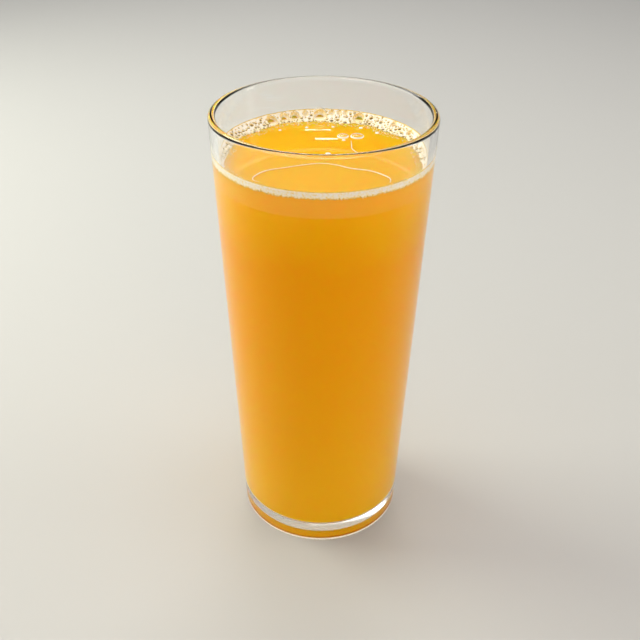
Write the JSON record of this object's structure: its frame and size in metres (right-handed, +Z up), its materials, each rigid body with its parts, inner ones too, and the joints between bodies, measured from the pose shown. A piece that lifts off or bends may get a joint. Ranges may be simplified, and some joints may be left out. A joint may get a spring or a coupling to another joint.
{
  "type": "glass of orange juice",
  "caption": "Tall tapered clear glass with a thick base, filled with orange juice almost to its rim, with a ring of froth and bubbles against the wall.",
  "frame": {"origin": "centre of the base, on the surface that the glass stands on", "axes": "+Z up along the axis of the glass; +Y is the back, where the froth is widest"},
  "size_m": [0.0686, 0.0686, 0.15],
  "materials": {
    "glass": "clear smooth drinking glass",
    "juice": "cloudy orange juice; gloss plastic stands in for a smooth wet opaque liquid",
    "froth": "pale cream froth; matte plastic stands in for fine bubbles"
  },
  "bodies": {
    "root": {"glass": "glass", "juice": "juice", "froth": "froth"}
  },
  "joints": []
}
